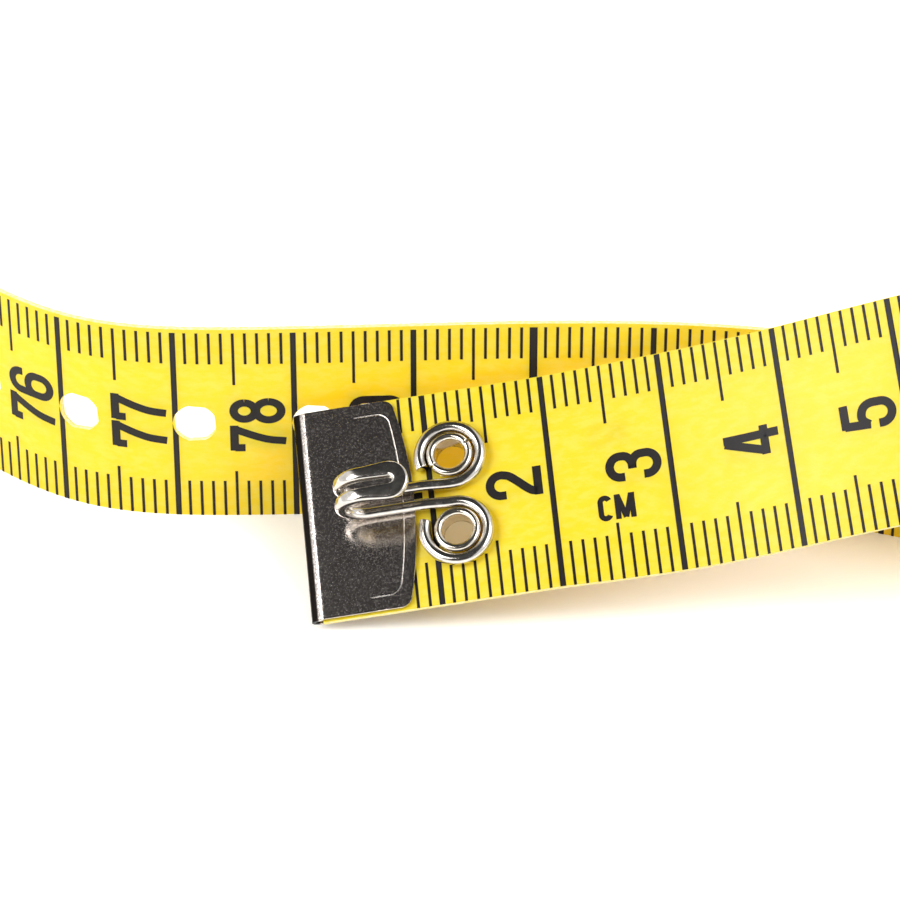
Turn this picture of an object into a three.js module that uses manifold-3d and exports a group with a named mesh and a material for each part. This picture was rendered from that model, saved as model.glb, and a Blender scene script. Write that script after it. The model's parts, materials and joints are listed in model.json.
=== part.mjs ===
// Dressmaker's waist tape: a yellow coated cloth tape with punched holes, a folded metal cap on each
// end, and a wire dress hook held by two eyelets. The tape stands on its edge in one loose loop. Its
// hook end crosses over its own tail and leans back against it. Sizes are in millimetres, +Z is up.

import * as THREE from 'three';
import { mergeVertices } from 'three/addons/utils/BufferGeometryUtils.js';
import Module from 'manifold-3d';

const wasm = await Module();
wasm.setup();

// The tape
const tapeLength = 1500;
const tapeWidth = 18.8;
const tapeThickness = 0.45;
const markSpacing = 10;
const waistHoleDiameter = 3.7;
const waistHoleOffset = 1.75;
const waistHolesStart = 500;
const plainTail = 50;

// The folded end caps
const capWidth = 18.5;
const capLength = 8.7;
const capEndDrop = 1.2;
const capCornerRadius = 1;
const capSheet = 0.3;

// The eyelets and the wire hook
const hookLoopSetback = 0.3;
const eyeletPitch = 6.75;
const eyeletBore = 2.6;
const eyeletWall = 0.3;
const eyeletRollRadius = 0.35;
const eyeletFlangeDiameter = 4.4;
const wireDiameter = 1;
const wireEndAngle = 200;
const hookBendStart = 5.05;
const hookBendRadius = 2.1;
const billEyePosition = 7.4;
const billEyeRadius = 0.97;
const billWidth = 1.35;
const billThickness = 0.8;
const bendSpreadShare = 0.5;

// Clearances: between parts that touch, between the tape's own three pieces, and between the hook
// end and the tail that it leans on and crosses
const seatGap = 0.1;
const pieceGap = 0.3;
const layGap = 0.5;

// Places along the tape: how much of each end is straight, the mark at which the tape comes back into
// the front run, and about how far the joints of the two ends are from the tape's ends
const straightEnd = 20;
const frontRunStart = 748.7;
const hookEndReach = 80;
const tailEndReach = 100;

// The lay, in tape widths: x, y and height of the centre line, and the lean in degrees
const hookEndLayShares = [
  [0.439, -0.943, 0.519, 57.5],
  [1.176, -0.970, 0.694, 51],
  [1.924, -1.070, 0.979, 48],
  [2.701, -1.107, 1.191, 42],
  [3.457, -1.104, 1.450, 35],
  [4.229, -0.960, 1.468, 28],
  [4.973, -0.614, 1.314, 20],
  [5.665, -0.082, 1.032, 12],
  [6.277, 0.583, 0.729, 5],
  [6.782, 1.381, 0.522, 1],
];
const firstCrossingRow = 3;
const frontRunLayShares = [
  [-2.217, -0.005],
  [-1.618, -0.427],
  [-0.920, -0.505],
  [-0.137, -0.474],
  [0.685, -0.454],
  [1.491, -0.529],
  [2.242, -0.768],
  [2.936, -1.133],
  [3.617, -1.569],
  [4.309, -1.968],
  [5.053, -2.234],
  [5.851, -2.261],
  [6.649, -1.888],
  [7.340, -1.144],
  [7.846, -0.160],
  [8.085, 0.957],
];
const loopCentreShare = 1.49;
const loopFrontShare = -0.8;
const tailSpacingShare = 0.53;
const loopAngles = [-18, 218];
const loopPoints = 14;
const tailAngles = [-20, 180];
const tailPoints = 11;

// How finely the solids follow their curves
const stepsPerRow = 24;
const bendStep = markSpacing / 2;
const wideShares = [[0.2, 0.49], [0.66, 1]];
const waistHoleSides = 8;
const eyeletSides = 24;
const wireSides = 8;

// Sizes that follow from those above
const halfWidth = tapeWidth / 2;
const halfThickness = tapeThickness / 2;
const capHalfHeight = halfThickness + seatGap + capSheet;
const wireRadius = wireDiameter / 2;
const eyeletBarrel = eyeletBore / 2 + eyeletWall;
const eyeletRim = eyeletBarrel + eyeletRollRadius;
const eyeletHole = eyeletBarrel + pieceGap;
const loopWireRadius = eyeletRim + seatGap + wireRadius;
const eyeletPosition = capLength + hookLoopSetback + wireRadius + loopWireRadius;
const wireHeight = halfThickness + seatGap + wireRadius;
const shankHeight = capHalfHeight + seatGap + wireRadius;
const billHeight = shankHeight + 2 * hookBendRadius;

// One arc of the loop or of the tail outside it, as rows of the lay
function arcRows(radius, outward, angles, count) {
  const rows = [];
  for (let i = 0; i < count; i += 1) {
    const angle = THREE.MathUtils.degToRad(THREE.MathUtils.lerp(angles[0], angles[1], i / (count - 1)));
    const reach = radius + outward;
    const x = loopCentreShare * tapeWidth + reach * Math.cos(angle);
    const y = loopFrontShare * tapeWidth + radius + reach * Math.sin(angle);
    rows.push([x, y, halfWidth, 0]);
  }
  return rows;
}

// Every row of the lay from the hook end to the tail, and the place of the front run's first row
function layRows(radius) {
  const rows = hookEndLayShares.map(([x, y, z, lean], i) => [
    x * tapeWidth,
    y * tapeWidth - tapeThickness - layGap,
    z * tapeWidth + (i < firstCrossingRow ? 0 : layGap),
    lean,
  ]);
  rows.push(...arcRows(radius, 0, loopAngles, loopPoints));
  const frontRunRow = rows.length;
  for (const [x, y] of frontRunLayShares) {
    rows.push([x * tapeWidth, y * tapeWidth, halfWidth, 0]);
  }
  rows.push(...arcRows(radius, tailSpacingShare * tapeWidth, tailAngles, tailPoints));
  return { rows, frontRunRow };
}

// A smooth curve through the rows, bent as little as it can be: a cubic between each two rows
function smoothCurve(rows, steps) {
  const last = rows.length - 1;
  const spans = [];
  for (let i = 0; i < last; i += 1) {
    const [a, b] = [rows[i], rows[i + 1]];
    spans.push(Math.hypot(b[0] - a[0], b[1] - a[1], b[2] - a[2]));
  }
  const bends = rows.map(() => [0, 0, 0, 0]);
  const upper = rows.map(() => 0);
  for (let i = 1; i < last; i += 1) {
    const pivot = 2 * (spans[i - 1] + spans[i]) - spans[i - 1] * upper[i - 1];
    upper[i] = spans[i] / pivot;
    for (let k = 0; k < 4; k += 1) {
      const turn = (rows[i + 1][k] - rows[i][k]) / spans[i] - (rows[i][k] - rows[i - 1][k]) / spans[i - 1];
      bends[i][k] = (6 * turn - spans[i - 1] * bends[i - 1][k]) / pivot;
    }
  }
  for (let i = last - 1; i > 0; i -= 1) {
    for (let k = 0; k < 4; k += 1) {
      bends[i][k] -= upper[i] * bends[i + 1][k];
    }
  }
  const points = [];
  for (let i = 0; i < last; i += 1) {
    const stop = i === last - 1 ? steps + 1 : steps;
    for (let j = 0; j < stop; j += 1) {
      const t = j / steps;
      const u = 1 - t;
      const pull = spans[i] ** 2 / 6;
      points.push([0, 1, 2, 3].map((k) => (
        u * rows[i][k] + t * rows[i + 1][k]
        + ((u ** 3 - u) * bends[i][k] + (t ** 3 - t) * bends[i + 1][k]) * pull
      )));
    }
  }
  return points;
}

// The lay as points with the mark that each lies at, none lower than a tape that stands on its edge
function layTape(radius) {
  const { rows, frontRunRow } = layRows(radius);
  const points = smoothCurve(rows, stepsPerRow);
  for (const point of points) {
    const standing = halfWidth * Math.cos(THREE.MathUtils.degToRad(point[3]));
    point[2] = Math.max(point[2], standing);
  }
  const marks = [straightEnd];
  for (let i = 1; i < points.length; i += 1) {
    const [a, b] = [points[i - 1], points[i]];
    marks.push(marks[i - 1] + Math.hypot(b[0] - a[0], b[1] - a[1], b[2] - a[2]));
  }
  return { points, marks, frontRunStart: marks[frontRunRow * stepsPerRow] };
}

// The loop takes up the slack: its radius brings the right mark to the start of the front run
function findLay() {
  let low = 0;
  let high = frontRunStart / 2;
  for (let halving = 0; halving < 40; halving += 1) {
    const middle = (low + high) / 2;
    if (layTape(middle).frontRunStart < frontRunStart) {
      low = middle;
    } else {
      high = middle;
    }
  }
  return layTape(low);
}

const lay = findLay();

function directionAt(index) {
  const a = lay.points[Math.max(index - 1, 0)];
  const b = lay.points[Math.min(index + 1, lay.points.length - 1)];
  return new THREE.Vector3(b[0] - a[0], b[1] - a[1], b[2] - a[2]).normalize();
}

// The tape's centre line at a mark, with its directions along, across (up) and out of the printed face
function tapeFrame(mark) {
  const { points, marks } = lay;
  const held = THREE.MathUtils.clamp(mark, straightEnd, tapeLength - straightEnd);
  let low = 0;
  let high = marks.length - 1;
  while (high - low > 1) {
    const middle = Math.floor((low + high) / 2);
    if (marks[middle] <= held) {
      low = middle;
    } else {
      high = middle;
    }
  }
  const t = (held - marks[low]) / (marks[high] - marks[low]);
  const row = points[low].map((value, k) => THREE.MathUtils.lerp(value, points[high][k], t));
  const along = directionAt(low).lerp(directionAt(high), t).normalize();
  const centre = new THREE.Vector3(row[0], row[1], row[2]).addScaledVector(along, mark - held);
  const inward = new THREE.Vector3(-along.y, along.x, 0).normalize();
  const upright = new THREE.Vector3().crossVectors(along, inward);
  const lean = THREE.MathUtils.degToRad(row[3]);
  const across = upright.multiplyScalar(Math.cos(lean)).addScaledVector(inward, Math.sin(lean));
  const face = new THREE.Vector3().crossVectors(along, across);
  return { centre, along, across, face };
}

function pointOnTape(mark, height, depth) {
  const { centre, across, face } = tapeFrame(mark);
  return centre.addScaledVector(across, height).addScaledVector(face, depth);
}

// A closed sheet from a grid of points: place(i, j, side) gives the point on side 1 or -1
function closedSheet(rows, columns, place) {
  const positions = [];
  const index = (i, j, side) => (side > 0 ? 0 : rows * columns) + i * columns + j;
  for (const side of [1, -1]) {
    for (let i = 0; i < rows; i += 1) {
      for (let j = 0; j < columns; j += 1) {
        positions.push(...place(i, j, side).toArray());
      }
    }
  }
  const faces = [];
  const quad = (a, b, c, d) => faces.push(a, b, c, a, c, d);
  for (let i = 0; i < rows - 1; i += 1) {
    for (let j = 0; j < columns - 1; j += 1) {
      quad(index(i, j, 1), index(i + 1, j, 1), index(i + 1, j + 1, 1), index(i, j + 1, 1));
      quad(index(i, j, -1), index(i, j + 1, -1), index(i + 1, j + 1, -1), index(i + 1, j, -1));
    }
    quad(index(i, 0, 1), index(i, 0, -1), index(i + 1, 0, -1), index(i + 1, 0, 1));
    const top = columns - 1;
    quad(index(i, top, 1), index(i + 1, top, 1), index(i + 1, top, -1), index(i, top, -1));
  }
  for (let j = 0; j < columns - 1; j += 1) {
    quad(index(0, j, 1), index(0, j + 1, 1), index(0, j + 1, -1), index(0, j, -1));
    const end = rows - 1;
    quad(index(end, j, 1), index(end, j, -1), index(end, j + 1, -1), index(end, j + 1, 1));
  }
  const geometry = new THREE.BufferGeometry();
  geometry.setAttribute('position', new THREE.Float32BufferAttribute(positions, 3));
  geometry.setIndex(faces);
  return geometry;
}

function toSolid(geometry) {
  const bare = geometry.clone();
  bare.deleteAttribute('normal');
  bare.deleteAttribute('uv');
  const merged = mergeVertices(bare);
  const mesh = new wasm.Mesh({
    numProp: 3,
    vertProperties: new Float32Array(merged.getAttribute('position').array),
    triVerts: new Uint32Array(merged.getIndex().array),
  });
  mesh.merge();
  return new wasm.Manifold(mesh);
}

function fromSolid(solid) {
  const mesh = solid.getMesh();
  const geometry = new THREE.BufferGeometry();
  geometry.setAttribute('position', new THREE.Float32BufferAttribute(mesh.vertProperties, 3));
  geometry.setIndex(new THREE.Uint32BufferAttribute(mesh.triVerts, 1));
  return geometry;
}

// A punch through the tape, square to its face
function punch(mark, height, radius, sides) {
  const { centre, along, across, face } = tapeFrame(mark);
  const cutter = new THREE.CylinderGeometry(radius, radius, tapeWidth, sides);
  cutter.rotateX(Math.PI / 2);
  cutter.applyMatrix4(new THREE.Matrix4().makeBasis(along, across, face));
  centre.addScaledVector(across, height);
  cutter.translate(centre.x, centre.y, centre.z);
  return toSolid(cutter);
}

// The marks at which the tape's solid has a row of points: closer where the tape leans, twists or
// turns sharply than on the wide part of the loop
function solidMarks(from, to) {
  const marks = [from];
  let mark = Math.ceil(from / bendStep) * bendStep;
  while (mark < to) {
    if (mark > from) {
      marks.push(mark);
    }
    const wide = wideShares.some(([first, last]) => mark >= first * tapeLength && mark < last * tapeLength);
    mark += wide ? 2 * bendStep : bendStep;
  }
  marks.push(to);
  return marks;
}

// A piece of the tape between two marks, with its waist holes and any other punched holes
function tapePiece(from, to, punches) {
  const marks = solidMarks(from, to);
  const heights = [-halfWidth, halfWidth];
  const strip = closedSheet(marks.length, heights.length, (i, j, side) => (
    pointOnTape(marks[i], heights[j], side * halfThickness)
  ));
  const cutters = [...punches];
  const lastHole = Math.round((tapeLength - plainTail - waistHolesStart) / markSpacing);
  for (let hole = 0; hole <= lastHole; hole += 1) {
    const place = waistHolesStart + hole * markSpacing + waistHoleOffset;
    if (place > from && place < to) {
      cutters.push(punch(place, 0, waistHoleDiameter / 2, waistHoleSides));
    }
  }
  let solid = toSolid(strip);
  for (const cutter of cutters) {
    solid = solid.subtract(cutter);
  }
  return fromSolid(solid);
}

// The point on the tape half-way between the hole after a centimetre line and the next hole
function betweenHoles(line) {
  return line + waistHoleOffset + markSpacing / 2;
}

// How far the cap's plates reach from the tape's end, at a height across the tape
function capReach(height) {
  return capLength - capEndDrop * (height / (capWidth / 2)) ** 2;
}

// A cap: one sheet folded round the end of the tape, its free edges bowed and round at the corners
function endCap() {
  const columns = [];
  const inner = capWidth / 2 - capCornerRadius;
  const cornerSteps = 4;
  for (let i = 0; i < cornerSteps; i += 1) {
    const angle = (Math.PI / 2) * (1 - i / cornerSteps);
    const height = inner + capCornerRadius * Math.sin(angle);
    columns.push({ height, reach: capReach(inner) - capCornerRadius * (1 - Math.cos(angle)) });
  }
  const middleSteps = 6;
  const middle = [];
  for (let i = 0; i <= middleSteps; i += 1) {
    const height = THREE.MathUtils.lerp(inner, -inner, i / middleSteps);
    middle.push({ height, reach: capReach(height) });
  }
  const lower = columns.map(({ height, reach }) => ({ height: -height, reach })).reverse();
  const across = [...columns, ...middle, ...lower].reverse();
  const foldSteps = 8;
  const rows = foldSteps + 3;
  const plate = halfThickness + seatGap + capSheet / 2;
  return closedSheet(rows, across.length, (i, j, side) => {
    const { height, reach } = across[j];
    const radius = plate + side * (capSheet / 2);
    if (i === 0) {
      return new THREE.Vector3(reach, height, -radius);
    }
    if (i === rows - 1) {
      return new THREE.Vector3(reach, height, radius);
    }
    const angle = Math.PI * ((i - 1) / foldSteps);
    return new THREE.Vector3(-seatGap - radius * Math.sin(angle), height, -radius * Math.cos(angle));
  });
}

// An eyelet: a short tube with a flat flange behind the tape and an edge rolled over in front
function eyelet() {
  const bore = eyeletBore / 2;
  const flange = eyeletFlangeDiameter / 2;
  const back = -halfThickness - seatGap - eyeletWall;
  const rollCentre = wireHeight + wireRadius - eyeletRollRadius;
  const profile = [
    new THREE.Vector2(bore, back),
    new THREE.Vector2(flange, back),
    new THREE.Vector2(flange, back + eyeletWall),
    new THREE.Vector2(eyeletBarrel, back + eyeletWall),
  ];
  const rollSteps = 7;
  for (let i = 0; i <= rollSteps; i += 1) {
    const angle = THREE.MathUtils.lerp(-Math.PI / 2, Math.PI, i / rollSteps);
    const radius = eyeletBarrel + eyeletRollRadius * Math.cos(angle);
    profile.push(new THREE.Vector2(radius, rollCentre + eyeletRollRadius * Math.sin(angle)));
  }
  profile.push(profile[0].clone());
  const geometry = new THREE.LatheGeometry(profile, eyeletSides);
  geometry.rotateX(Math.PI / 2);
  return geometry;
}

// One half of the hook's centre line, from the cut end of the upper wire to the tip of the bill.
// Each point has the flattening of the wire there, from 0, round, to 1, as flat as the bill
function hookHalf() {
  const centre = new THREE.Vector2(eyeletPosition, eyeletPitch / 2);
  const shank = centre.y - loopWireRadius;
  const points = [];
  const add = (x, y, z, flat) => points.push({ place: new THREE.Vector3(x, y, z), flat });
  const loopSteps = 18;
  for (let i = 0; i <= loopSteps; i += 1) {
    const angle = THREE.MathUtils.degToRad(THREE.MathUtils.lerp(wireEndAngle, -90, i / loopSteps));
    add(centre.x + loopWireRadius * Math.cos(angle), centre.y + loopWireRadius * Math.sin(angle), wireHeight, 0);
  }
  const capEdge = capLength + wireRadius;
  const rampSteps = 3;
  for (let i = 1; i <= rampSteps; i += 1) {
    const t = i / rampSteps;
    const rise = THREE.MathUtils.smoothstep(t, 0, 1);
    const x = THREE.MathUtils.lerp(centre.x, capEdge, t);
    add(x, shank, THREE.MathUtils.lerp(wireHeight, shankHeight, rise), 0);
  }
  const billStart = THREE.MathUtils.lerp(shank, billEyeRadius, bendSpreadShare);
  const bendSteps = 8;
  for (let i = 0; i <= bendSteps; i += 1) {
    const angle = Math.PI * (i / bendSteps);
    const x = hookBendStart - hookBendRadius * Math.sin(angle);
    const z = shankHeight + hookBendRadius * (1 - Math.cos(angle));
    const spread = THREE.MathUtils.smoothstep(angle, 0, Math.PI);
    add(x, THREE.MathUtils.lerp(shank, billStart, spread), z, bendSpreadShare * spread);
  }
  const billSteps = 3;
  for (let i = 1; i < billSteps; i += 1) {
    const t = i / billSteps;
    const spread = THREE.MathUtils.smoothstep(t, 0, 1);
    const x = THREE.MathUtils.lerp(hookBendStart, billEyePosition, t);
    const flat = THREE.MathUtils.lerp(bendSpreadShare, 1, spread);
    add(x, THREE.MathUtils.lerp(billStart, billEyeRadius, spread), billHeight, flat);
  }
  const tipSteps = 4;
  for (let i = 0; i <= tipSteps; i += 1) {
    const angle = (Math.PI / 2) * (1 - i / tipSteps);
    const x = billEyePosition + billEyeRadius * Math.cos(angle);
    add(x, billEyeRadius * Math.sin(angle), billHeight, 1);
  }
  return points;
}

// The hook: one wire, from one eyelet's loop along a shank, over the bend, round the tip and back
function dressHook() {
  const upper = hookHalf();
  const lower = upper.slice(0, -1).reverse().map(({ place, flat }) => ({
    place: new THREE.Vector3(place.x, -place.y, place.z),
    flat,
  }));
  const path = [...upper, ...lower];
  const sides = wireSides;
  const normal = new THREE.Vector3(0, 0, 1);
  const out = new THREE.Vector3(0, 0, 1);
  const positions = [];
  path.forEach(({ place, flat }, i) => {
    const before = path[Math.max(i - 1, 0)].place;
    const after = path[Math.min(i + 1, path.length - 1)].place;
    const tangent = new THREE.Vector3().subVectors(after, before).normalize();
    normal.addScaledVector(tangent, -normal.dot(tangent)).normalize();
    const side = new THREE.Vector3().crossVectors(tangent, normal);
    const flatSide = new THREE.Vector3().crossVectors(out, tangent);
    for (let k = 0; k < sides; k += 1) {
      const angle = (2 * Math.PI * k) / sides;
      const offset = new THREE.Vector3().addScaledVector(normal, wireRadius * Math.cos(angle));
      offset.addScaledVector(side, wireRadius * Math.sin(angle));
      const spread = (billWidth / wireDiameter - 1) * flat;
      const squeeze = (billThickness / wireDiameter - 1) * flat;
      const sideways = offset.dot(flatSide) * spread;
      const upwards = offset.dot(out) * squeeze;
      offset.addScaledVector(flatSide, sideways).addScaledVector(out, upwards);
      positions.push(place.x + offset.x, place.y + offset.y, place.z + offset.z);
    }
  });
  const faces = [];
  for (let i = 0; i < path.length - 1; i += 1) {
    for (let k = 0; k < sides; k += 1) {
      const a = i * sides + k;
      const b = i * sides + ((k + 1) % sides);
      faces.push(a, b, b + sides, a, b + sides, a + sides);
    }
  }
  const end = (path.length - 1) * sides;
  for (let k = 1; k < sides - 1; k += 1) {
    faces.push(0, k + 1, k, end, end + k, end + k + 1);
  }
  const geometry = new THREE.BufferGeometry();
  geometry.setAttribute('position', new THREE.Float32BufferAttribute(positions, 3));
  geometry.setIndex(faces);
  return geometry;
}

const yellowTape = { color: 0xffe83c, roughness: 0.45, metalness: 0 };
const nickel = { color: 0xb9b4ac, roughness: 0.28, metalness: 1 };
const eyeletNickel = { color: 0xcfc6b8, roughness: 0.22, metalness: 1 };

function named(name, geometry, finish) {
  const mesh = new THREE.Mesh(geometry, new THREE.MeshStandardMaterial(finish));
  mesh.name = name;
  return mesh;
}

// A group that stands at an end of the tape, +X into the tape and +Z out of its printed face
function endFrame(mark, into) {
  const { centre, along, across, face } = tapeFrame(mark);
  const group = new THREE.Group();
  const basis = new THREE.Matrix4().makeBasis(
    along.multiplyScalar(into),
    across.multiplyScalar(into),
    face,
  );
  group.quaternion.setFromRotationMatrix(basis);
  group.position.copy(centre);
  return group;
}

const hookEndJoint = betweenHoles(hookEndReach);
const tailEndJoint = betweenHoles(tapeLength - tailEndReach);
const eyeletPunches = [1, -1].map((side) => punch(eyeletPosition, side * (eyeletPitch / 2), eyeletHole, 16));
const pieces = [
  ['tape_hook_end', 0, hookEndJoint - pieceGap / 2, eyeletPunches],
  ['tape_loop', hookEndJoint + pieceGap / 2, tailEndJoint - pieceGap / 2, []],
  ['tape_tail_end', tailEndJoint + pieceGap / 2, tapeLength, []],
];

const tapeMeasure = new THREE.Group();
for (const [name, from, to, punches] of pieces) {
  tapeMeasure.add(named(name, tapePiece(from, to, punches), yellowTape));
}

const hookEnd = endFrame(0, 1);
hookEnd.add(named('hook_end_cap', endCap(), nickel));
hookEnd.add(named('dress_hook', dressHook(), nickel));
for (const [name, side] of [['eyelet_upper', 1], ['eyelet_lower', -1]]) {
  const mesh = named(name, eyelet(), eyeletNickel);
  mesh.position.set(eyeletPosition, side * (eyeletPitch / 2), 0);
  hookEnd.add(mesh);
}
tapeMeasure.add(hookEnd);

const tailEnd = endFrame(tapeLength, -1);
tailEnd.add(named('tail_end_cap', endCap(), nickel));
tapeMeasure.add(tailEnd);

// The least gap between two stretches of the tape that lie beside or over each other: the tape is
// taken as short flat cells, and points on the faces and edges of each cell are held against the others
function leastGap() {
  const cellLength = tapeWidth / 6;
  const reach = [cellLength / 2, halfWidth, halfThickness];
  const cells = [];
  for (let mark = 0; mark <= tapeLength; mark += cellLength) {
    const { centre, along, across, face } = tapeFrame(mark);
    const points = [-1, 0, 1].flatMap((height) => [-1, 1].map((side) => (
      pointOnTape(mark, height * halfWidth, side * halfThickness)
    )));
    cells.push({ mark, centre, directions: [along, across, face], points });
  }
  const offset = new THREE.Vector3();
  let least = tapeLength;
  for (const from of cells) {
    for (const to of cells) {
      const apart = from.centre.distanceTo(to.centre);
      if (Math.abs(from.mark - to.mark) > 2 * tapeWidth && apart < 2 * tapeWidth) {
        for (const point of from.points) {
          offset.subVectors(point, to.centre);
          const outside = to.directions.map((direction, k) => (
            Math.max(Math.abs(offset.dot(direction)) - reach[k], 0)
          ));
          least = Math.min(least, Math.hypot(...outside));
        }
      }
    }
  }
  return least;
}
console.log(`least gap of the tape to itself: ${leastGap().toFixed(2)} mm`);

// The origin is on the surface that the tape stands on, under the middle of its box
tapeMeasure.updateMatrixWorld(true);
const box = new THREE.Box3().setFromObject(tapeMeasure, true);
const middle = box.getCenter(new THREE.Vector3());
tapeMeasure.position.set(-middle.x, -middle.y, -box.min.z);

export default tapeMeasure;
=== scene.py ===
import json
from functools import partialmethod
from math import copysign, cos, degrees, hypot, pi, radians, remainder, sin, sqrt, tan

import bmesh
import bpy
import numpy as np
from mathutils import Matrix, Vector
from mathutils.geometry import delaunay_2d_cdt


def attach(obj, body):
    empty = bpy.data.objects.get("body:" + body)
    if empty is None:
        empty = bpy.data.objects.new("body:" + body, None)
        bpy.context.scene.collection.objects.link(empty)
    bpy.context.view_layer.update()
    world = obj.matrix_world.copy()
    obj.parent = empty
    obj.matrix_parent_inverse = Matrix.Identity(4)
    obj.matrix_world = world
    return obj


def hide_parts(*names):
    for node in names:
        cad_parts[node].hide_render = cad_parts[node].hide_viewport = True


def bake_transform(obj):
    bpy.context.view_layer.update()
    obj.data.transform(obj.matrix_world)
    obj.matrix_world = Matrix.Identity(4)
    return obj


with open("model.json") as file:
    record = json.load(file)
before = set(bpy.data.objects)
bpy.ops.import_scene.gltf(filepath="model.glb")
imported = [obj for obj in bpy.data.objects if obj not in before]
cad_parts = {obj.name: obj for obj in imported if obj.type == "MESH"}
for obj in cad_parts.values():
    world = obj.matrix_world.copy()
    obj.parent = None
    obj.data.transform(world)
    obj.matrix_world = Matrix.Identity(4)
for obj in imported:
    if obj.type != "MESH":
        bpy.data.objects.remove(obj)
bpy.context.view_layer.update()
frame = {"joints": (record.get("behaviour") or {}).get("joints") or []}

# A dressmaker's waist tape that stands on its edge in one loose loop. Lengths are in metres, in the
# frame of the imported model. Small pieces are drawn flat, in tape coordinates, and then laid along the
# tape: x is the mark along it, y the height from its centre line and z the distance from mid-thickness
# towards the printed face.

# The tape
TAPE_LENGTH = 1.5
TAPE_WIDTH = 0.0188
TAPE_THICKNESS = 0.00045
CM = 0.01
MM = 0.001
WAIST_HOLE = 0.0037
WAIST_HOLE_OFFSET = 0.00175
WAIST_HOLE_MARKS = range(50, 146)

# The caps
CAP_WIDTH = 0.0185
CAP_LENGTH = 0.0087
CAP_END_DROP = 0.0012
CAP_CORNER = 0.001
CAP_SHEET = 0.0003
FOLD_START = 0.0004
FOLD_BEND = 0.0014
FOLD_SLOPE = 18
FOLD_TIP_START = -0.00055
TAPE_SETBACK = 0.00014

# The eyelets and the wire hook
HOOK_LOOP_SETBACK = 0.0003
EYELET_PITCH = 0.00675
EYELET_BORE = 0.0026
EYELET_WALL = 0.0003
EYELET_ROLL = 0.00035
EYELET_FLANGE = 0.0044
WIRE = 0.001
UPPER_WIRE_END = 200
LOWER_WIRE_END = 206
LOWER_WIRE_FLARE = 0.0003
UPPER_RIM_SPLITS = (0.5, 3.7)
SPLIT_HALF_ANGLE = 0.06
HOOK_BEND_START = 0.00505
HOOK_BEND_RADIUS = 0.0021
BILL_EYE_PLACE = 0.0074
BILL_EYE_RADIUS = 0.00097
BILL_WIDTH = 0.00135
BILL_THICKNESS = 0.0008
BEND_SPREAD_SHARE = 0.5

# Clearances, and how far the ink stands off the cloth
SEAT_GAP = 0.0001
LAY_GAP = 0.0005
INK = 0.00002

# Where the lay is fixed, and where the tape is divided into its three pieces: each of them ends away
# from the joints
STRAIGHT_END = 0.02
FRONT_RUN_START = 0.7487
HOOK_PIECE_END = 0.10675
TAIL_PIECE_START = 1.38675
BEND_REACH = 0.01

HALF_WIDTH = TAPE_WIDTH / 2
HALF_THICKNESS = TAPE_THICKNESS / 2
CAP_HALF_HEIGHT = HALF_THICKNESS + SEAT_GAP + CAP_SHEET
WIRE_RADIUS = WIRE / 2
EYELET_BARREL = EYELET_BORE / 2 + EYELET_WALL
EYELET_RIM = EYELET_BARREL + EYELET_ROLL
LOOP_WIRE_RADIUS = EYELET_RIM + SEAT_GAP + WIRE_RADIUS
EYELET_PLACE = CAP_LENGTH + HOOK_LOOP_SETBACK + WIRE_RADIUS + LOOP_WIRE_RADIUS
WIRE_HEIGHT = HALF_THICKNESS + SEAT_GAP + WIRE_RADIUS
SHANK_HEIGHT = CAP_HALF_HEIGHT + SEAT_GAP + WIRE_RADIUS
BILL_HEIGHT = SHANK_HEIGHT + 2 * HOOK_BEND_RADIUS

# The lay, in tape widths: x, y and height of the centre line, and the lean in degrees
HOOK_END_LAY_SHARES = [
    (0.439, -0.943, 0.519, 57.5),
    (1.176, -0.970, 0.694, 51),
    (1.924, -1.070, 0.979, 48),
    (2.701, -1.107, 1.191, 42),
    (3.457, -1.104, 1.450, 35),
    (4.229, -0.960, 1.468, 28),
    (4.973, -0.614, 1.314, 20),
    (5.665, -0.082, 1.032, 12),
    (6.277, 0.583, 0.729, 5),
    (6.782, 1.381, 0.522, 1),
]
FIRST_CROSSING_ROW = 3
FRONT_RUN_LAY_SHARES = [
    (-2.217, -0.005),
    (-1.618, -0.427),
    (-0.920, -0.505),
    (-0.137, -0.474),
    (0.685, -0.454),
    (1.491, -0.529),
    (2.242, -0.768),
    (2.936, -1.133),
    (3.617, -1.569),
    (4.309, -1.968),
    (5.053, -2.234),
    (5.851, -2.261),
    (6.649, -1.888),
    (7.340, -1.144),
    (7.846, -0.160),
    (8.085, 0.957),
]
LOOP_CENTRE_SHARE = 1.49
LOOP_FRONT_SHARE = -0.8
TAIL_SPACING_SHARE = 0.53
LOOP_ANGLES = (-18, 218)
LOOP_POINTS = 14
TAIL_ANGLES = (-20, 180)
TAIL_POINTS = 11
STEPS_PER_ROW = 24


# The lay of the tape

def arc_rows(radius, outward, angles, count):
    """One arc of the loop, or of the tail outside it, as rows of the lay."""
    angle = np.radians(np.linspace(*angles, count))
    x = LOOP_CENTRE_SHARE * TAPE_WIDTH + (radius + outward) * np.cos(angle)
    y = LOOP_FRONT_SHARE * TAPE_WIDTH + radius + (radius + outward) * np.sin(angle)
    return np.column_stack([x, y, np.full(count, HALF_WIDTH), np.zeros(count)])


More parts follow.
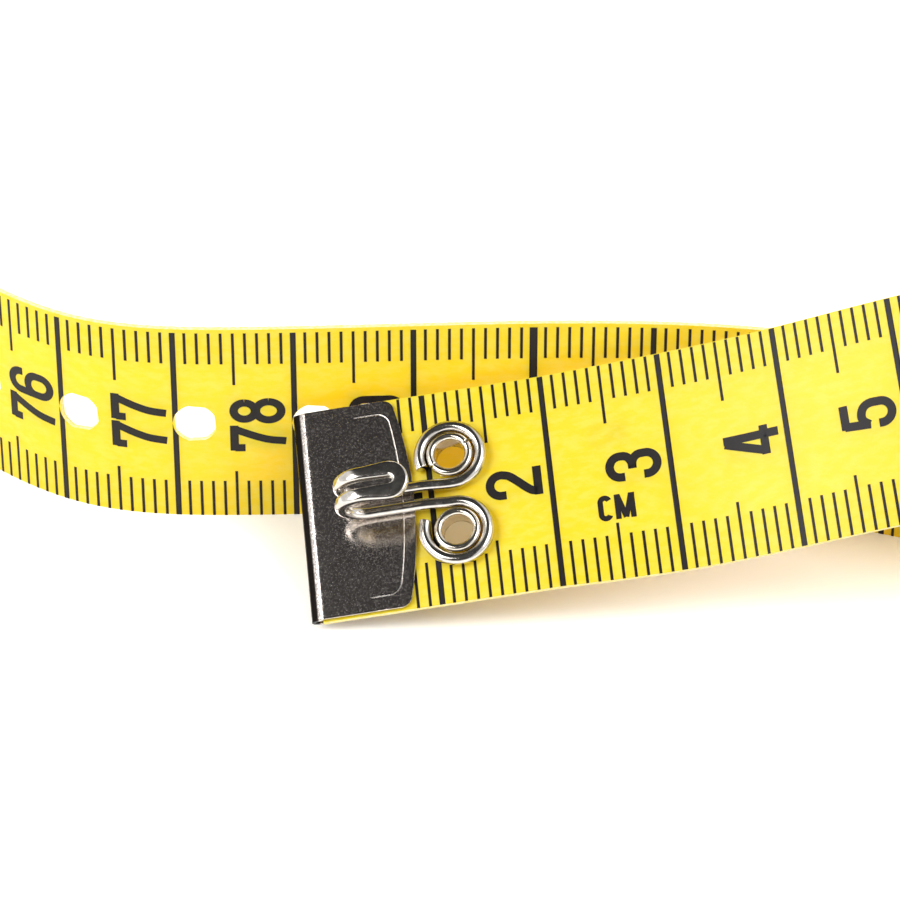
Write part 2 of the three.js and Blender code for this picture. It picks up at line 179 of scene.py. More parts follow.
def lay_rows(radius):
    """Every row of the lay, and the place of the front run's first row."""
    hook_end = np.array(HOOK_END_LAY_SHARES) * [TAPE_WIDTH, TAPE_WIDTH, TAPE_WIDTH, 1]
    hook_end[:, 1] -= TAPE_THICKNESS + LAY_GAP
    hook_end[FIRST_CROSSING_ROW:, 2] += LAY_GAP
    front_run = np.array([(x * TAPE_WIDTH, y * TAPE_WIDTH, HALF_WIDTH, 0) for x, y in FRONT_RUN_LAY_SHARES])
    loop = arc_rows(radius, 0, LOOP_ANGLES, LOOP_POINTS)
    tail = arc_rows(radius, TAIL_SPACING_SHARE * TAPE_WIDTH, TAIL_ANGLES, TAIL_POINTS)
    return np.concatenate([hook_end, loop, front_run, tail]), len(hook_end) + len(loop)


def smooth_curve(rows, steps):
    """A natural cubic spline through the rows, with this many steps from each row to the next."""
    spans = np.linalg.norm(np.diff(rows[:, :3], axis=0), axis=1)
    count = len(rows)
    system = np.eye(count)
    turns = np.zeros_like(rows)
    inner = np.arange(1, count - 1)
    system[inner, inner - 1] = spans[:-1]
    system[inner, inner] = 2 * (spans[:-1] + spans[1:])
    system[inner, inner + 1] = spans[1:]
    slopes = np.diff(rows, axis=0) / spans[:, None]
    turns[1:-1] = 6 * np.diff(slopes, axis=0)
    bends = np.linalg.solve(system, turns)
    t = (np.arange(steps) / steps)[None, :, None]
    u = 1 - t
    pull = (spans ** 2 / 6)[:, None, None]
    curve = u * rows[:-1, None] + t * rows[1:, None]
    curve = curve + ((u ** 3 - u) * bends[:-1, None] + (t ** 3 - t) * bends[1:, None]) * pull
    return np.concatenate([curve.reshape(-1, 4), rows[-1:]])


def lay_tape(radius):
    """The lay as points, the mark that each lies at, and the mark where the front run starts."""
    rows, front_run_row = lay_rows(radius)
    points = smooth_curve(rows, STEPS_PER_ROW)
    points[:, 2] = np.maximum(points[:, 2], HALF_WIDTH * np.cos(np.radians(points[:, 3])))
    lengths = np.linalg.norm(np.diff(points[:, :3], axis=0), axis=1)
    marks = STRAIGHT_END + np.concatenate([[0], np.cumsum(lengths)])
    return points, marks, marks[front_run_row * STEPS_PER_ROW]


LAY_SEARCH_STEPS = 40


def find_lay():
    """The loop takes up the slack: its radius brings the right mark to the start of the front run."""
    low, high = 0, FRONT_RUN_START / 2
    for _ in range(LAY_SEARCH_STEPS):
        middle = (low + high) / 2
        if lay_tape(middle)[2] < FRONT_RUN_START:
            low = middle
        else:
            high = middle
    return lay_tape(low)[:2]


lay_points, lay_marks = find_lay()
lay_directions = np.gradient(lay_points[:, :3], axis=0)
lay_directions /= np.linalg.norm(lay_directions, axis=1)[:, None]


def tape_frame(marks):
    """The centre line at each mark, with the directions along, across and out of the printed face."""
    marks = np.atleast_1d(np.asarray(marks, float))
    held = np.clip(marks, STRAIGHT_END, TAPE_LENGTH - STRAIGHT_END)
    row = np.column_stack([np.interp(held, lay_marks, lay_points[:, k]) for k in range(4)])
    along = np.column_stack([np.interp(held, lay_marks, lay_directions[:, k]) for k in range(3)])
    along /= np.linalg.norm(along, axis=1)[:, None]
    centre = row[:, :3] + along * (marks - held)[:, None]
    inward = np.column_stack([-along[:, 1], along[:, 0], np.zeros(len(marks))])
    inward /= np.linalg.norm(inward, axis=1)[:, None]
    upright = np.cross(along, inward)
    lean = np.radians(row[:, 3])[:, None]
    across = np.cos(lean) * upright + np.sin(lean) * inward
    return centre, along, across, np.cross(along, across)


# The hook end's joint lies on the printed face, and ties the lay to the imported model's frame
hook_joint = next(joint for joint in frame["joints"] if joint["name"] == "hook_end_swing")
HOOK_JOINT_MARK = 0.08675
TAIL_JOINT_MARK = 1.40675


def raw_place(mark, height, depth):
    centre, along, across, face = tape_frame(mark)
    return Vector((centre + across * height + face * depth)[0])


lay_shift = Vector(hook_joint["pos_m"]) - raw_place(HOOK_JOINT_MARK, 0, HALF_THICKNESS)


def on_tape(mark, height=0, depth=0):
    """A point in the row frame, from its tape coordinates."""
    return raw_place(mark, height, depth) + lay_shift


def end_matrix(mark, into=1):
    """The frame of an end of the tape: +X into the tape and +Z out of its printed face."""
    centre, along, across, face = (Vector(part[0]) for part in tape_frame(mark))
    matrix = Matrix((along * into, across * into, face)).transposed().to_4x4()
    matrix.translation = centre + lay_shift
    return matrix


# Node graphs, written as expressions

class Value:
    """A socket that can be calculated with: each operator adds its Math node."""

    def __init__(self, graph, socket):
        self.graph = graph
        self.socket = socket

    def math(self, operation, *others, clamp=False):
        settings = {"operation": operation, "use_clamp": clamp}
        return self.graph.node("ShaderNodeMath", settings, dict(enumerate((self, *others))))

    __add__ = __radd__ = partialmethod(math, "ADD")
    __mul__ = __rmul__ = partialmethod(math, "MULTIPLY")
    __sub__ = partialmethod(math, "SUBTRACT")
    __truediv__ = partialmethod(math, "DIVIDE")
    __abs__ = partialmethod(math, "ABSOLUTE")
    lowest = partialmethod(math, "MINIMUM")
    highest = partialmethod(math, "MAXIMUM")

    def __rsub__(self, other):
        return (self * -1) + other

    def below(self, edge, blur):
        """1 well below the edge, 0 well above it, with a soft step between."""
        return ((edge - self) / blur + 0.5).math("MULTIPLY", 1.0, clamp=True)


class Graph:
    """A node tree that is built from expressions."""

    def __init__(self, tree):
        self.tree = tree

    def node(self, kind, settings=None, inputs=None, output=0):
        node = self.tree.nodes.new(kind)
        for name, setting in (settings or {}).items():
            setattr(node, name, setting)
        for key, value in (inputs or {}).items():
            self.feed(node.inputs[key], value)
        return Value(self, node.outputs[output]) if node.outputs else node

    def feed(self, socket, value):
        if isinstance(value, Value):
            self.tree.links.new(value.socket, socket)
        else:
            socket.default_value = value

    def split(self, vector):
        node = self.tree.nodes.new("ShaderNodeSeparateXYZ")
        self.tree.links.new(vector.socket, node.inputs[0])
        return [Value(self, socket) for socket in node.outputs]

    def mix(self, factor, first, second):
        """A colour between two colours."""
        return self.node("ShaderNodeMix", {"data_type": "RGBA"}, {0: factor, 6: first, 7: second}, output=2)


def srgb(red, green, blue):
    """A colour from its 0 to 255 values on a screen."""
    shares = [value / 255 for value in (red, green, blue)]
    return (*[s / 12.92 if s <= 0.04045 else ((s + 0.055) / 1.055) ** 2.4 for s in shares], 1.0)


# Materials

class Finish(Graph):
    """A material with one Principled shader."""

    def __init__(self, name):
        self.material = bpy.data.materials.new(name)
        self.material.use_nodes = True
        super().__init__(self.material.node_tree)
        self.shader = self.tree.nodes["Principled BSDF"]
        self.plain = Value(self, self.shader.outputs[0])

    def set(self, **values):
        for name, value in values.items():
            self.feed(self.shader.inputs[name.replace("_", " ")], value)

    def show(self, shader):
        self.feed(self.tree.nodes["Material Output"].inputs["Surface"], shader)

    def bump(self, height, strength, distance):
        inputs = {"Strength": strength, "Distance": distance, "Height": height}
        return self.node("ShaderNodeBump", None, inputs)

    def noise(self, vector, scale, detail=2.0, roughness=0.5):
        inputs = {"Vector": vector, "Scale": scale, "Detail": detail, "Roughness": roughness}
        return self.node("ShaderNodeTexNoise", None, inputs)

    def let_light_through(self, share, colour):
        """Makes a thin cloth glow where light falls on its other side."""
        through = self.node("ShaderNodeBsdfTranslucent", None, {"Color": colour})
        self.show(self.node("ShaderNodeMixShader", None, {0: share, 1: self.plain, 2: through}))

    def object_place(self):
        return self.node("ShaderNodeTexCoord", output=3)

    def tape_place(self):
        """Tape coordinates in centimetres, from the piece's own map."""
        return self.node("ShaderNodeUVMap", {"uv_map": "tape"})

    def plate_place(self):
        """A cap's coordinates from the end of the tape, in centimetres, from the cap's own map."""
        return self.split(self.node("ShaderNodeUVMap", {"uv_map": "plate"}))


# The spacing of the cloth's threads in centimetres
WARP_SPACING = 0.055
WEFT_SPACING = 0.045


def coated_cloth():
    """Yellow lacquer over a fine cloth, a little mottled where the cloth shows through."""
    finish = Finish("coated_cloth")
    place = finish.tape_place()
    x, y, _ = finish.split(place)
    warp = (x * (2 * pi / WARP_SPACING)).math("SINE")
    weft = (y * (2 * pi / WEFT_SPACING)).math("SINE")
    stretched = finish.node("ShaderNodeVectorMath", {"operation": "MULTIPLY"}, {0: place, 1: (0.5, 1.0, 1.0)})
    mottle = finish.noise(stretched, 14.0, 3.0, 0.6)
    cloud = finish.noise(place, 1.6)
    light = finish.mix(mottle.below(0.52, 0.2), srgb(255, 242, 76), srgb(255, 236, 14))
    colour = finish.mix(cloud.below(0.45, 0.4) * 0.35, light, srgb(255, 230, 12))
    finish.set(
        Base_Color=colour,
        Roughness=0.42 + mottle * 0.1,
        Normal=finish.bump(warp * weft * 0.35 + mottle * 1.2, 0.18, 0.00003),
        Coat_Weight=0.7,
        Coat_Roughness=0.5,
    )
    finish.let_light_through(0.36, srgb(255, 213, 18))
    return finish.material


def cut_edge():
    """The cream cloth core, where the tape is cut."""
    finish = Finish("cut_edge")
    place = finish.object_place()
    thread = finish.noise(place, 3500.0)
    colour = finish.mix(thread.below(0.5, 0.3), srgb(252, 226, 120), srgb(250, 240, 190))
    finish.set(Base_Color=colour, Roughness=0.8, Normal=finish.bump(thread, 0.5, 0.0001))
    return finish.material


def printing_ink():
    finish = Finish("printing_ink")
    speck = finish.noise(finish.tape_place(), 30.0, 3.0, 0.6)
    colour = finish.mix(speck.below(0.45, 0.3), srgb(24, 18, 17), srgb(15, 11, 11))
    finish.set(Base_Color=colour, Roughness=0.42 + speck * 0.12, Specular_IOR_Level=0.3)
    return finish.material


# The engraved line on a cap, in centimetres of the plate: its reach at mid-height and how much that
# drops and leans towards the corners, its half height, the radius of its corners, where it starts and
# its half width; then where the painted dark reflection round the outside of the fold ends
LINE_REACH = 0.772
LINE_DROP = 0.125
LINE_LEAN = 0.02
LINE_HALF_HEIGHT = 0.806
LINE_CORNER = 0.09
LINE_START = 0.43
LINE_START_BLUR = 0.04
LINE_HALF_WIDTH = 0.0055
LINE_BLUR = 0.006
FOLD_DARK_REACH = -0.02
FOLD_DARK_BLUR = 0.014


def border_line(finish):
    """1 on the line that is engraved round a cap's plate, 0 off it."""
    x, y, _ = finish.plate_place()
    height = abs(y)
    reach = LINE_REACH - y * y * LINE_DROP + y * LINE_LEAN
    right = x - reach + LINE_CORNER
    top = height - (LINE_HALF_HEIGHT - LINE_CORNER)
    outer_right, outer_top = right.highest(0), top.highest(0)
    round_corner = (outer_right * outer_right + outer_top * outer_top).math("SQRT")
    distance = abs(round_corner + right.highest(top).lowest(0) - LINE_CORNER)
    started = 1 - x.below(LINE_START, LINE_START_BLUR)
    return distance.below(LINE_HALF_WIDTH, LINE_BLUR) * started


def worn_fold(finish):
    """1 round the outside of a cap's fold, where a dark reflection is painted into the plating, 0 on its
    plates.
    """
    x, _, _ = finish.plate_place()
    return x.below(FOLD_DARK_REACH, FOLD_DARK_BLUR)


def dark_nickel():
    """The cap's plate: nickel with a fine grain, an engraved line round it and a painted dark reflection
    round its fold.
    """
    finish = Finish("dark_nickel")
    place = finish.object_place()
    grain = finish.noise(place, 6000.0, 2.0, 0.6)
    patch = finish.noise(place, 900.0)
    line = border_line(finish)
    speck = 1 - grain.below(0.55, 0.22)
    colour = finish.mix(speck, srgb(197, 189, 183), srgb(232, 223, 216))
    colour = finish.mix(patch.below(0.5, 0.5) * 0.3, colour, srgb(170, 161, 154))
    # Painted dark reflection round the outside of the fold, in place of the dark surroundings that it would
    # mirror
    colour = finish.mix(worn_fold(finish), colour, srgb(34, 29, 26))
    finish.set(
        Base_Color=finish.mix(line, colour, srgb(214, 205, 196)),
        Metallic=1.0,
        Roughness=0.13 + speck * 0.09 + line * 0.14,
        Normal=finish.bump(grain - line * 2, 0.2, 0.00004),
    )
    return finish.material


def bright_nickel(name, colour, dull):
    """Polished plating with faint drawing marks and duller patches."""
    finish = Finish(name)
    place = finish.object_place()
    mark = finish.noise(place, 2600.0, 3.0, 0.6)
    finish.set(
        Base_Color=finish.mix(mark.below(0.42, 0.3) * 0.4, colour, dull),
        Metallic=1.0,
        Roughness=0.1 + mark * 0.12,
        Normal=finish.bump(mark, 0.08, 0.00003),
    )
    return finish.material


cloth = coated_cloth()
edge = cut_edge()
ink = printing_ink()
cap_plate = dark_nickel()
wire_metal = bright_nickel("hook_wire", srgb(214, 209, 202), srgb(170, 163, 152))
eyelet_metal = bright_nickel("eyelet_nickel", srgb(226, 219, 206), srgb(184, 168, 142))


# Geometry trees

def new_tree(name, inputs):
    tree = bpy.data.node_groups.new(name, "GeometryNodeTree")
    for label, kind in inputs.items():
        tree.interface.new_socket(label, in_out="INPUT", socket_type="NodeSocket" + kind)
    tree.interface.new_socket("Geometry", in_out="OUTPUT", socket_type="NodeSocketGeometry")
    graph = Graph(tree)
    start = tree.nodes.new("NodeGroupInput")
    return graph, {label: Value(graph, start.outputs[label]) for label in inputs}


def finish_tree(graph, geometry):
    graph.node("NodeGroupOutput", None, {0: geometry})
    return graph.tree


def finish_with_material(graph, geometry, material):
    real = graph.node("GeometryNodeRealizeInstances", None, {0: geometry})
    return finish_tree(graph, graph.node("GeometryNodeSetMaterial", None, {0: real, "Material": material}))


def plain_mesh(piece):
    """The mesh that a piece's modifiers make."""
    graph = bpy.context.evaluated_depsgraph_get()
    return bpy.data.meshes.new_from_object(
        piece.evaluated_get(graph), preserve_all_data_layers=True, depsgraph=graph)


def run_tree(piece, tree, **values):
    """Runs a tree on a piece, and gives the plain mesh that it made as a piece of the same name."""
    modifier = piece.modifiers.new(tree.name, "NODES")
    modifier.node_group = tree
    for item in tree.interface.items_tree:
        if item.in_out == "INPUT" and item.name in values:
            modifier[item.identifier] = values[item.name]
    name = piece.name
    made = new_piece(name, plain_mesh(piece))
    bpy.data.objects.remove(piece)
    made.name = name
    return made


def new_piece(name, data):
    piece = bpy.data.objects.new(name, data)
    bpy.context.scene.collection.objects.link(piece)
    return piece


def mesh_piece(name, points, faces, edges=()):
    mesh = bpy.data.meshes.new(name)
    mesh.from_pydata(points, edges, faces)
    return new_piece(name, mesh)


def ring_faces(first, second, count):
    """The faces between two rings of points, from the number of each ring's first point."""
    steps = [(k, (k + 1) % count) for k in range(count)]
    return [(first + k, first + n, second + n, second + k) for k, n in steps]


def row_tree():
    """Copies of a flat piece in a row along +X."""
    inputs = {"Geometry": "Geometry", "Copies": "Int", "First": "Float", "Spacing": "Float"}
    graph, given = new_tree("row_of_copies", {**inputs, "Material": "Material"})
    start = graph.node("ShaderNodeCombineXYZ", None, {0: given["First"]})
    step = graph.node("ShaderNodeCombineXYZ", None, {0: given["Spacing"]})
    line = graph.node("GeometryNodeMeshLine", {"mode": "OFFSET"}, {
        "Count": given["Copies"], "Start Location": start, "Offset": step,
    })
    copies = graph.node("GeometryNodeInstanceOnPoints", None, {"Points": line, "Instance": given["Geometry"]})
    return finish_with_material(graph, copies, given["Material"])


def stroke_tree():
    """Flat ribbons of ink along the strokes of the figures."""
    inputs = {"Geometry": "Geometry", "Width": "Float", "Ink": "Float", "Material": "Material"}
    graph, given = new_tree("strokes_of_ink", inputs)
    section = graph.node("GeometryNodeCurvePrimitiveQuadrilateral", None, {
        "Width": given["Width"], "Height": given["Ink"],
    })
    flat = graph.node("GeometryNodeSetCurveNormal", {"mode": "Z_UP"}, {0: given["Geometry"]})
    ribbon = graph.node("GeometryNodeCurveToMesh", None, {
        "Curve": flat, "Profile Curve": section, "Fill Caps": True,
    })
    return finish_with_material(graph, ribbon, given["Material"])


def along_tape_tree():
    """Lays a flat piece along the tape, and keeps its tape coordinates as a map in centimetres."""
    inputs = {"Geometry": "Geometry", "Lay": "Object"}
    graph, given = new_tree("along_the_tape", inputs)
    flat = graph.node("GeometryNodeInputPosition")
    mark, height, depth = graph.split(flat)

    def scaled(vector, amount):
        return graph.node("ShaderNodeVectorMath", {"operation": "SCALE"}, {0: vector, "Scale": amount})

    mapped = graph.node("GeometryNodeStoreNamedAttribute", {"data_type": "FLOAT2", "domain": "CORNER"}, {
        "Geometry": given["Geometry"], "Name": "tape", "Value": scaled(flat, 1 / CM),
    })
    lay = graph.node("GeometryNodeObjectInfo", None, {"Object": given["Lay"]}, output="Geometry")
    curve = graph.node("GeometryNodeMeshToCurve", None, {0: lay})

    def sampled(attribute, output="Value"):
        kind = {"data_type": "FLOAT_VECTOR"}
        value = graph.node("GeometryNodeInputNamedAttribute", kind, {"Name": attribute})
        settings = {**kind, "mode": "LENGTH", "use_all_curves": True}
        inputs = {"Curves": curve, "Value": value, "Length": mark}
        return graph.node("GeometryNodeSampleCurve", settings, inputs, output=output)

    def added(first, second):
        return graph.node("ShaderNodeVectorMath", {"operation": "ADD"}, {0: first, 1: second})

    centre = sampled("across", "Position")
    place = added(centre, added(scaled(sampled("across"), height), scaled(sampled("face"), depth)))
    laid = graph.node("GeometryNodeSetPosition", None, {"Geometry": mapped, "Position": place})
    return finish_tree(graph, laid)


def make_lay():
    """The tape's centre line as a chain of edges, with the directions that lie square to it."""
    marks = np.linspace(0, TAPE_LENGTH, round(TAPE_LENGTH / MM) + 1)
    centre, along, across, face = tape_frame(marks)
    chain = [(i, i + 1) for i in range(len(marks) - 1)]
    line = mesh_piece("lay", centre + np.array(lay_shift), [], chain)
    for name, vectors in (("across", across), ("face", face)):
        attribute = line.data.attributes.new(name, "FLOAT_VECTOR", "POINT")
        attribute.data.foreach_set("vector", vectors.astype(np.float32).ravel())
    return line


row_of_copies = row_tree()
strokes_of_ink = stroke_tree()
along_the_tape = along_tape_tree()
lay = make_lay()


WELD_REACH = MM / 1000


def weld(piece):
    """Merges the doubles of a mesh, closes its open ends and points its faces outwards."""
    mesh = bmesh.new()
    mesh.from_mesh(piece.data)
    bmesh.ops.remove_doubles(mesh, verts=mesh.verts, dist=WELD_REACH)
    border = [edge for edge in mesh.edges if edge.is_boundary]
    if border:
        bmesh.ops.edgeloop_fill(mesh, edges=border)
    bmesh.ops.recalc_face_normals(mesh, faces=mesh.faces)
    mesh.to_mesh(piece.data)
    mesh.free()


def join(pieces, name):
    """One piece from several, with their materials."""
    with bpy.context.temp_override(active_object=pieces[0], selected_editable_objects=pieces):
        bpy.ops.object.join()
    pieces[0].name = name
    return pieces[0]


def placed(piece, matrix):
    piece.data.transform(matrix)
    return piece


def moved(piece, distance, height=0):
    return placed(piece, Matrix.Translation((distance, height, 0)))


def shade(piece, angle, *materials):
    """Gives a piece its materials, and shades it smooth but for edges sharper than this angle."""
    for material in materials:
        piece.data.materials.append(material)
    piece.data.shade_smooth()
    piece.data.set_sharp_from_angle(angle=radians(angle))
    return piece


# The tape: flat cells, most of them alike, in a row

CELL_ROWS = 9
HOLE_SIDES = 40
HOLE_SQUARENESS = 1.9
HOLE_RING = 0.9 * MM
HOLE_CLEARANCE = 0.8 * MM
INSIDE_HOLE_SHARE = 0.93
SAME_PLACE = 1e-9


def hole_outline(centre, diameter, squareness=2):
    """A punched hole. Below 2, squareness draws its left and right to slight points."""
    angles = np.linspace(0, 2 * pi, HOLE_SIDES, endpoint=False)
    shape = [abs(cos(a)) ** squareness + abs(sin(a)) ** squareness for a in angles]
    reach = [diameter / 2 * part ** (-1 / squareness) for part in shape]
    return [(centre[0] + r * cos(a), centre[1] + r * sin(a)) for r, a in zip(reach, angles)]


def flat_cell(name, length, holes):
    """A stretch of tape from 0 to length, open at both ends, with holes of (centre, diameter)."""
    steps = max(2, round(length / MM))
    columns = np.linspace(0, length, steps + 1)
    heights = np.linspace(-HALF_WIDTH, HALF_WIDTH, CELL_ROWS)
    outline = [(x, -HALF_WIDTH) for x in columns] + [(length, y) for y in heights[1:]]
    outline += [(x, HALF_WIDTH) for x in columns[-2::-1]] + [(0, y) for y in heights[-2:0:-1]]
    points = list(outline)
    edges = [(i, (i + 1) % len(outline)) for i in range(len(outline))]
    for centre, diameter in holes:
        first = len(points)
        points += hole_outline(centre, diameter, HOLE_SQUARENESS)
        edges += [(first + i, first + (i + 1) % HOLE_SIDES) for i in range(HOLE_SIDES)]
        points += hole_outline(centre, diameter + HOLE_RING)
    for x in columns[1:-1]:
        for y in heights[1:-1]:
            if all(hypot(x - c[0], y - c[1]) > d / 2 + HOLE_CLEARANCE for c, d in holes):
                points.append((x, y))
    flat = [Vector(point) for point in points]
    verts, _, faces, *_ = delaunay_2d_cdt(flat, edges, [], 1, SAME_PLACE)

    def in_hole(face):
        middle = sum((verts[i] for i in face), Vector((0, 0))) / len(face)
        return any((middle - Vector(c)).length < d / 2 * INSIDE_HOLE_SHARE for c, d in holes)

    faces = [face for face in faces if not in_hole(face)]
    count = len(verts)
    solid = [(v.x, v.y, HALF_THICKNESS) for v in verts] + [(v.x, v.y, -HALF_THICKNESS) for v in verts]
    sides = dict.fromkeys((a, b) for face in faces for a, b in zip(face, face[1:] + face[:1]))
    walls = []
    for a, b in sides:
        left, right = sorted((verts[a].x, verts[b].x))
        across_end = left > length - SAME_PLACE or right < SAME_PLACE
        if (b, a) not in sides and not across_end:
            walls.append((b, a, a + count, b + count))
    reverse = [tuple(i + count for i in reversed(face)) for face in faces]
    return mesh_piece(name, solid, faces + reverse + walls)


waist_hole = [((CM / 2, 0), WAIST_HOLE)]
FIRST_CELL = 0.00675
HOLES_START = WAIST_HOLE_MARKS[0] * CM + WAIST_HOLE_OFFSET - CM / 2
HOLES_END = WAIST_HOLE_MARKS[-1] * CM + WAIST_HOLE_OFFSET + CM / 2
EYELET_SPARE = 0.0002
EYELET_HOLE = 2 * (EYELET_BARREL + EYELET_SPARE)


def cells_between(start, end, holes):
    """A row of like cells, one to each centimetre."""
    count = round((end - start) / CM)
    cell = flat_cell("cells", CM, holes)
    return run_tree(cell, row_of_copies, Copies=count, First=start, Spacing=CM, Material=cloth)


def finish_tape(pieces, name):
    """Joins flat stretches, lays them along the tape, and gives the cut walls their own material."""
    tape = join(pieces, name)
    tape.data.materials.clear()
    weld(tape)
    for vertex in tape.data.vertices:
        vertex.co.x = min(max(vertex.co.x, TAPE_SETBACK), TAPE_LENGTH - TAPE_SETBACK)
    cut = [abs(polygon.normal.z) < 0.5 for polygon in tape.data.polygons]
    tape = run_tree(tape, along_the_tape, Lay=lay)
    shade(tape, 40, cloth, edge)
    tape.data.polygons.foreach_set("material_index", [int(wall) for wall in cut])
    return tape


def make_tape():
    """The hook end with its eyelet holes, the long loop, and the tail end."""
    first = FIRST_CELL + CM
    eyelet_holes = [((EYELET_PLACE, side * EYELET_PITCH / 2), EYELET_HOLE) for side in (1, -1)]
    hook_end = finish_tape([
        flat_cell("end_cell", first, eyelet_holes),
        cells_between(first, HOOK_PIECE_END, []),
    ], "tape_at_hook")
    loop = finish_tape([
        cells_between(HOOK_PIECE_END, HOLES_START, []),
        cells_between(HOLES_START, TAIL_PIECE_START, waist_hole),
    ], "tape_in_loop")
    last = TAPE_LENGTH - (CM - FIRST_CELL)
    tail_end = finish_tape([
        cells_between(TAIL_PIECE_START, HOLES_END, waist_hole),
        cells_between(HOLES_END, last, []),
        moved(flat_cell("end_cell", TAPE_LENGTH - last, []), last),
    ], "tape_at_tail")
    return hook_end, loop, tail_end


# The printed scale

LINE_OFFSET = 0.0001
TICK_WIDTH = 0.00024
FIRST_OPEN_TICK = 8
LINE_WIDTH = 0.00048
LINE_ARC_POINTS = 7
DECADE_WIDTH = 0.00066
TOP_TICK = 0.00312
FOOT_TICK = 0.00385
TOP_LONG_TICK = 0.0052
FOOT_LONG_TICK = 0.00485
TOP_MARGIN = 0.00006
PRINT_WANDER = 0.0003
WANDER_REACH = 0.775
FIGURE_WIDTH = 0.00255
FIGURE_SPACE = 0.0002
FIGURE_STROKE = 0.00072
FIGURE_RISE = 0.0002
FIGURE_TO_LINE = 0.00065


def ink_blocks(name, outlines):
    """Thin closed blocks of ink with these flat outlines, bedded in the tape's face."""
    low, high = HALF_THICKNESS - INK / 2, HALF_THICKNESS + INK
    points, faces = [], []
    for outline in outlines:
        first, count = len(points), len(outline)
        points += [(x, y, low) for x, y in outline] + [(x, y, high) for x, y in outline]
        faces.append([first + i for i in reversed(range(count))])
        faces.append([first + count + i for i in range(count)])
        faces += ring_faces(first, first + count, count)
    return mesh_piece(name, points, faces)


def bar(middle, width, low, high):
    left, right = middle - width / 2, middle + width / 2
    return [(left, low), (right, low), (right, high), (left, high)]


def ticks_outlines(first_step=1):
    """The ticks before a centimetre line, whose own place is at the end of the stretch."""
    outlines = []
    for step in range(first_step, 10):
        top_length, foot_length = (TOP_LONG_TICK, FOOT_LONG_TICK) if step == 5 else (TOP_TICK, FOOT_TICK)
        middle = step * MM - CM + LINE_OFFSET
        outlines.append(bar(middle, TICK_WIDTH, HALF_WIDTH - top_length, HALF_WIDTH - TOP_MARGIN))
        outlines.append(bar(middle, TICK_WIDTH, -HALF_WIDTH, foot_length - HALF_WIDTH))
    return outlines


def print_drop(place):
    """How far the print has wandered towards the tape's foot at this place along it."""
    return PRINT_WANDER * (1 - np.cos(pi * place / WANDER_REACH)) / 2


def line_outlines(width, has_hole, drop):
    """A centimetre line, cut away where it meets the waist hole just after it."""
    top = HALF_WIDTH - TOP_MARGIN
    if not has_hole:
        return [bar(LINE_OFFSET, width, -HALF_WIDTH, top)]
    left, right = LINE_OFFSET - width / 2, LINE_OFFSET + width / 2
    reach = WAIST_HOLE / 2 + INK
    arc = []
    for x in np.linspace(left, right, LINE_ARC_POINTS):
        rise = sqrt(max(reach ** 2 - (WAIST_HOLE_OFFSET - x) ** 2, 0))
        arc.append((x, max(rise, INK)))
    upper = [(x, drop + y) for x, y in arc] + [(right, top), (left, top)]
    lower = [(x, drop - y) for x, y in reversed(arc)] + [(left, -HALF_WIDTH), (right, -HALF_WIDTH)]
    return [upper, lower]


# The steps of a figure's strokes: points to each stretch of a smooth line, degrees and millimetres
SMOOTH_STEPS = 8
OVAL_STEP = 9
STRAIGHT_STEP = 0.8


def smooth(*points):
    """A smooth line through a few points of a figure."""
    points = [np.array(point, float) for point in points]
    padded = [2 * points[0] - points[1], *points, 2 * points[-1] - points[-2]]
    line = []
    for a, b, c, d in zip(padded, padded[1:], padded[2:], padded[3:]):
        for t in np.linspace(0, 1, SMOOTH_STEPS, endpoint=False):
            pull = (c - a) * t + (2 * a - 5 * b + 4 * c - d) * t ** 2 + (3 * b - a - 3 * c + d) * t ** 3
            line.append(b + pull / 2)
    return [*line, points[-1]]


def oval(x, y, across, up, start, end):
    """Part of an oval, from its centre, half sizes and two angles."""
    count = max(4, round(abs(end - start) / OVAL_STEP))
    angles = np.radians(np.linspace(start, end, count + 1))
    return [np.array((x + across * cos(a), y + up * sin(a))) for a in angles]


def straight(*points):
    """A straight line, with enough points to follow a bent tape."""
    line = []
    for a, b in zip(points, points[1:]):
        a, b = np.array(a, float), np.array(b, float)
        count = max(1, round(np.linalg.norm(b - a) / STRAIGHT_STEP))
        line += [a + (b - a) * i / count for i in range(count)]
    return [*line, np.array(points[-1], float)]


